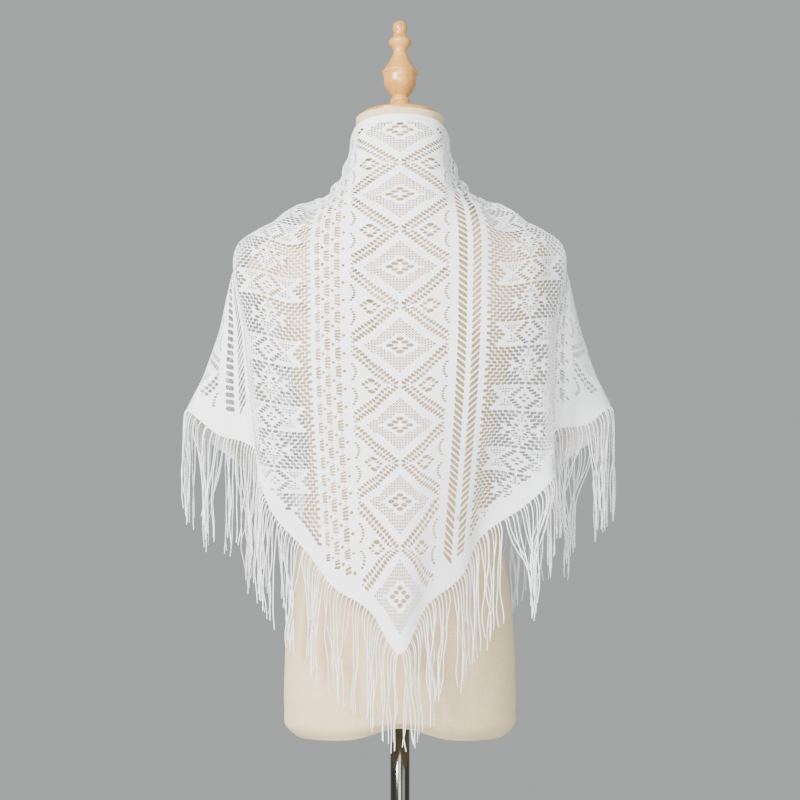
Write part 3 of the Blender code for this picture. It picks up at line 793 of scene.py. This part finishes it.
def straighten(points):
    # close beside the middle, and wider near the tip, the worn rows droop: how far a place hangs below
    # the middle's is taken off its down, twice over
    flat = points.reshape(-1, 2)
    near = (np.abs(flat[:, 0]) < 0.06) & (flat[:, 1] > 0.06) & (flat[:, 1] < columnLength(flat[:, 0]))
    u, v = flat[near].T
    middle = hungCloth(np.zeros_like(u), v)[:, 2]
    part = smooth((v - 0.06) / 0.12) * smooth((0.034 - np.abs(u)) / 0.012)
    part = np.maximum(part, smooth((v - 0.50) / 0.07) * smooth((0.06 - np.abs(u)) / 0.02))
    moved = v + (hungCloth(u, v)[:, 2] - middle) * part
    flat[near, 1] = moved + (hungCloth(u, moved)[:, 2] - middle) * part
    return flat.reshape(points.shape)


def laceGaps():
    # every gap of the whole cut, as (points, corners) in metres
    count = chart["count"]
    gathered = {4: [], 6: [], 8: []}

    def lay(motif, across, downs):
        for points, corners in motif:
            for down in downs:
                gathered[corners].append(points * count + (across, down))

    diamonds = chart["diamondRise"] * np.arange(-1, 8) * count
    for k in (-2, -1, 0, 1, 2):
        middle = k * chart["repeat"]
        lay(diamondMotif(), middle, diamonds)
        lay(crossingMotif(), middle, diamonds + chart["diamondRise"] * count / 2)
        chevrons = np.arange(-12, 88) * chart["chevronRise"] * count
        lay(chevronMotif(), middle + chart["chevronPlace"] * count, chevrons)
        start = chart["netStart"] - (k >= 0) * chart["netRightUp"]
        nets = (start + chart["netRise"] * np.arange(-2, 10)) * count
        lay(netMotif(), middle + chart["netPlace"] * count, nets)
        lay(netFill(), middle + chart["netPlace"] * count, nets)
        for row, place in enumerate(chart["combPlaces"]):
            combs = (np.arange(-2, 33) * chart["combRise"] + (row % 2) * chart["combRise"] / 2) * count
            lay(combMotif(), middle + place * count, combs)
    laid = []
    for corners, parts in gathered.items():
        points = np.concatenate(parts).reshape(-1, corners, 2)
        x = points[..., 0] / count
        tuck = np.where(x > 0, chart["tuckRight"], chart["tuckLeft"])
        tuck = tuck * (np.abs(x.mean(axis=1)) > chart["tuckFrom"])[:, None]
        widened = np.interp(np.abs(x), chart["across"], chart["acrossPlaces"])
        points[..., 0] = np.sign(x) * (widened + tuck) * count
        if corners == 6:
            hidden = np.concatenate((tuckFill(-1, chart["tuckLeft"]), tuckFill(1, chart["tuckRight"])))
            points = np.concatenate((points, hidden.reshape(-1, corners, 2) * count))
        rise = chart["diamondRise"] * count
        points[..., 1] = np.interp(points[..., 1] / rise, chart["rows"], chart["rowPlaces"])
        laid.append((straighten(points), corners))
    return laid


allGaps = laceGaps()
print("chart laid:", sum(len(points) for points, corners in allGaps), "gaps")


def gapsWithin(low, high):
    # gaps wholly inside a stretch and its plain bands
    kept = []
    for points, corners in allGaps:
        u, v = points[..., 0], points[..., 1]
        toHem = (columnLength(u) - v) * half / math.hypot(half, depth)
        tip = chart["meshTip"] if corners == 4 else chart["slotTip"]
        band = chart["plainHem"] + (tip - chart["plainHem"]) * smooth((v - 0.53) / 0.06)
        inside = (u > low + 0.0012) & (u < high - 0.0012) & (v > chart["plainTop"]) & (toHem > band)
        kept.append((points[inside.all(axis=1)], corners))
    return kept


def makeLace(name, low, high, node):
    # the cut cloth is triangulated flat round its gaps, then worn, with a wall between two skins
    top = np.arange(low, high, 0.006)
    top = np.append(top[:-1], high) if high - top[-1] < 0.003 else np.append(top, high)
    sideSteps = {u: np.linspace(0, float(columnLength(u)), max(2, int(columnLength(u) / 0.006)))[1:-1]
                 for u in (low, high)}
    edge = np.concatenate((
        np.stack([top, np.zeros_like(top)], -1),
        np.stack([np.full(len(sideSteps[high]), high), sideSteps[high]], -1),
        np.stack([top, columnLength(top)], -1)[::-1],
        np.stack([np.full(len(sideSteps[low]), low), sideSteps[low]], -1)[::-1]))
    loops, blocks = [list(range(len(edge)))], [edge]
    start = len(edge)
    for points, corners in gapsWithin(low, high):
        blocks.append(points.reshape(-1, 2))
        loops += (start + np.arange(len(points) * corners).reshape(-1, corners)).tolist()
        start += len(points) * corners
    # points of the plain ground: one in each square of the flat that no gap touches
    square = 0.0075
    taken = np.concatenate(blocks)
    cellU, cellV = np.meshgrid(np.arange(int((high - low) / square) + 1), np.arange(int(depth / square) + 1))
    ground = np.stack([low + (cellU.ravel() + 0.5) * square, (cellV.ravel() + 0.5) * square], -1)
    ground += (np.stack([np.sin(ground[:, 1] * 911), np.sin(ground[:, 0] * 877)], -1)) * square * 0.12
    width = cellU.shape[1]
    key = ((taken[:, 1] // square) * width + (taken[:, 0] - low) // square).astype(int)
    clear = np.ones(cellU.size, bool)
    clear[key[(key >= 0) & (key < cellU.size)]] = False
    inside = (ground[:, 0] < high - 0.004) & (columnLength(ground[:, 0]) - ground[:, 1] > 0.005)
    blocks.append(ground[clear & inside])
    result = delaunay_2d_cdt(np.concatenate(blocks).tolist(), [], loops, 0, 1e-7, True)
    flat = np.array([tuple(p) for p in result[0]])
    cells = np.array([c for c, owners in zip(result[2], result[5]) if owners == [0]])
    used, cells = np.unique(cells, return_inverse=True)
    cells = cells.reshape(-1, 3)
    flat = flat[used]
    a, b, c = flat[cells[:, 0]], flat[cells[:, 1]], flat[cells[:, 2]]
    turn = (b - a)[:, 0] * (c - a)[:, 1] - (b - a)[:, 1] * (c - a)[:, 0]
    cells[turn < 0] = cells[turn < 0][:, ::-1]
    count = len(flat)
    directed = np.concatenate((cells[:, [0, 1]], cells[:, [1, 2]], cells[:, [2, 0]]))
    codes = directed[:, 0] * count + directed[:, 1]
    border = directed[~np.isin(codes, directed[:, 1] * count + directed[:, 0])]
    middle = cloth(flat[:, 0], flat[:, 1])
    square = clothFrame(cloth, flat[:, 0], np.maximum(flat[:, 1], 0.0026))[2]
    skin = square * scarfParts["wall"] / 2
    points = np.concatenate((middle + skin, middle - skin))
    rims = np.stack([border[:, 1], border[:, 0], border[:, 0] + count, border[:, 1] + count], -1)
    faces = np.concatenate((cells.ravel(), (cells[:, ::-1] + count).ravel(), rims.ravel()))
    sizes = np.concatenate((np.full(2 * len(cells), 3), np.full(len(rims), 4)))
    piece = addMesh(name, points, faces, sizes, laceMaterial, "flat", np.concatenate((flat, flat)), sharp=60)
    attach(piece, "root")
    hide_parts(node)
    print(name, "made:", 2 * (len(cells) + len(rims)), "triangles")
    return piece


seam = 0.0003
cornerPlace = 0.7385
laceBack = makeLace("laceBack", -fold + seam / 2, fold - seam / 2, "scarf_back")
laceFrontLeft = makeLace("laceFrontLeft", -cornerPlace, -fold - seam / 2, "scarf_front_left")
laceFrontRight = makeLace("laceFrontRight", fold + seam / 2, cornerPlace, "scarf_front_right")

# The fringe: cords looped into the short edges, which bend over and hang, some gathered together

fringeParts = {
    "length": 0.135,
    "lengthSpread": 0.035,
    # the cords at the tip are shorter by this share
    "shortTip": 0.11,
    "tipReach": 0.02,
    "radius": 0.00072,
    "spacing": 0.0057,
    "bend": 0.0085,
    "wander": 0.0042,
    "bundleEnds": 0.16,
    "pull": 0.62,
    "pullSpread": 0.2,
    "rings": 22,
    "sides": 6,
    "seed": 20,
}


def makeFringe(name, stretch, side, node):
    # direction at s along a cord = out times e to the -s/bend, plus down times the rest; its sum is the path
    chance = np.random.default_rng(fringeParts["seed"] + (stretch == "back") * 2 + (side > 0))
    low, high = (0.004, fold - 0.003) if stretch == "back" else (fold + 0.003, 0.733)
    span = math.hypot(half, depth) * (high - low) / half
    count = int(span / fringeParts["spacing"])
    u = np.linspace(low, high, count) + chance.normal(0, 0.0007, count)
    u = np.clip(u, low, high) * side
    v = columnLength(u)
    along, down, square = clothFrame(cloth, u, v - 0.003)
    out = unit(side * along * 0.693 + down * 0.721)
    root = cloth(u, v) - out * 0.0012
    share = np.linspace(0, 1, fringeParts["rings"]) ** 1.25
    length = fringeParts["length"] * (1 + chance.normal(0, fringeParts["lengthSpread"], count))
    length *= 1 - fringeParts["shortTip"] * np.exp(-(u / fringeParts["tipReach"]) ** 2)
    s = share[None, :] * length[:, None]
    fade = np.exp(-s / fringeParts["bend"])[..., None]
    gravity = np.array((0.0, 0.0, -1.0))
    direction = unit(out[:, None, :] * fade + gravity * (1 - fade))
    steps = np.diff(s, axis=1)[..., None] * (direction[:, 1:] + direction[:, :-1]) / 2
    path = root[:, None, :] + np.concatenate((np.zeros((count, 1, 3)), np.cumsum(steps, axis=1)), axis=1)
    # gathering: neighbours of a bundle are drawn to its middle, as far as they hang
    bundle = np.cumsum(chance.random(count) < fringeParts["bundleEnds"])
    members = np.bincount(bundle)
    middles = np.stack([np.bincount(bundle, root[:, k]) / np.maximum(members, 1) for k in range(3)], -1)
    pull = chance.normal(fringeParts["pull"], fringeParts["pullSpread"], len(members))
    pull = np.clip(pull, 0.1, 0.88)[bundle]
    toMiddle = (middles[bundle] - root) * (1, 1, 0)
    drawn = smooth(share * 1.6 - 0.1)[None, :, None]
    path += toMiddle[:, None, :] * pull[:, None, None] * drawn
    # wander: two slow sines across the hem and one towards the viewer
    across = unit(np.stack([along[:, 0], along[:, 1], np.zeros(count)], -1))
    forward = np.cross(across, gravity)
    swing = share[None, :] * 2 * math.pi
    first, second, third = chance.random((3, count, 1)) * 2 * math.pi
    sway = np.sin(swing * 0.75 + first) - np.sin(first)
    sway = sway + 0.35 * (np.sin(swing * 2.1 + second) - np.sin(second))
    nod = 0.45 * (np.sin(swing * 0.9 + third) - np.sin(third))
    reach = fringeParts["wander"] * smooth(share * 1.5)[None, :] * chance.uniform(0.3, 1.0, (count, 1))
    path += across[:, None, :] * (sway * reach)[..., None] + forward[:, None, :] * (nod * reach)[..., None]
    tangent = unit(np.gradient(path, axis=1))
    firstSide = unit(np.cross(tangent, forward[:, None, :] + 0.01))
    secondSide = np.cross(tangent, firstSide)
    angle = 2 * math.pi * np.arange(fringeParts["sides"]) / fringeParts["sides"]
    # the loop at the root is thicker, the cut end frays a little and closes
    swell = 1 + 0.55 * np.exp(-((s - 0.004) / 0.0022) ** 2)
    radius = fringeParts["radius"] * swell * chance.uniform(0.85, 1.12, (count, 1))
    radius[:, -1] *= 0.8
    ring = firstSide[..., None, :] * np.cos(angle)[:, None]
    ring = ring + secondSide[..., None, :] * np.sin(angle)[:, None]
    points = path[:, :, None, :] + ring * radius[..., None, None]
    sides, rings = fringeParts["sides"], fringeParts["rings"]
    each = sides * rings
    quads = (gridFaces(rings, sides, True)[None] + (np.arange(count) * each)[:, None, None]).reshape(-1, 4)
    k = np.arange(sides)
    offset = (np.arange(count) * each)[:, None]
    nearCap = (offset + k[::-1]).ravel()
    farCap = (offset + each - sides + k).ravel()
    faces = np.concatenate((quads.ravel(), nearCap, farCap))
    sizes = np.concatenate((np.full(len(quads), 4), np.full(2 * count, sides)))
    uv = np.stack([np.broadcast_to(k / sides, (count, rings, sides)),
                   np.broadcast_to(s[..., None], (count, rings, sides))], -1).reshape(-1, 2)
    piece = addMesh(name, points.reshape(-1, 3), faces, sizes, cordMaterial, "cord", uv, sharp=60)
    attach(piece, "root")
    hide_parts(node)
    return piece


for side, hand in ((-1, "Left"), (1, "Right")):
    for stretch in ("back", "front"):
        name = f"fringe{stretch.capitalize()}{hand}"
        makeFringe(name, stretch, side, f"fringe_{stretch}_{hand.lower()}")

# Room, lights and camera

roomParts = {
    "background": (0.43, 0.457, 0.452),
    "floor": 2.4,
    "lights": (
        # name, power, width, place, what it is aimed at
        ("keyLight", 410, 1.3, (-2.0, -2.6, 2.7), (0.0, 0.0, 1.05)),
        ("fillLight", 38, 2.0, (2.4, -2.4, 1.2), (0.0, 0.0, 1.0)),
        ("frontLight", 110, 1.6, (-0.2, -3.4, 1.9), (0.0, 0.0, 1.0)),
    ),
}
cameraParts = {"place": (0, -3.6, 0.9955), "sensor": 36, "width": 1.04}


def makeRoom():
    size = roomParts["floor"]
    points = [(-size, -size, 0), (size, -size, 0), (size, size, 0), (-size, size, 0)]
    floor = addMesh("floor", points, [0, 1, 2, 3], [4], makeFloorMaterial("paleFloor"))
    world = bpy.data.worlds.new("studio")
    bpy.context.scene.world = world
    world.use_nodes = True
    world.node_tree.nodes["Background"].inputs[0].default_value = (*roomParts["background"], 1)
    for name, power, width, place, target in roomParts["lights"]:
        data = bpy.data.lights.new(name, "AREA")
        data.energy, data.size = power, width
        lamp = bpy.data.objects.new(name, data)
        lamp.location = place
        aim = np.array(target) - np.array(place)
        lamp.rotation_euler = (math.acos(-aim[2] / np.linalg.norm(aim)), 0,
                               math.atan2(aim[1], aim[0]) - math.pi / 2)
        bpy.context.scene.collection.objects.link(lamp)


def makeCamera():
    # the picture shows the given width at the form's middle
    data = bpy.data.cameras.new("photoCamera")
    data.sensor_width = cameraParts["sensor"]
    data.lens = cameraParts["sensor"] * -cameraParts["place"][1] / cameraParts["width"]
    camera = bpy.data.objects.new("photoCamera", data)
    camera.location = cameraParts["place"]
    camera.rotation_euler = (math.pi / 2, 0, 0)
    bpy.context.scene.collection.objects.link(camera)
    bpy.context.scene.camera = camera


makeRoom()
makeCamera()
print("room, lights and camera made")
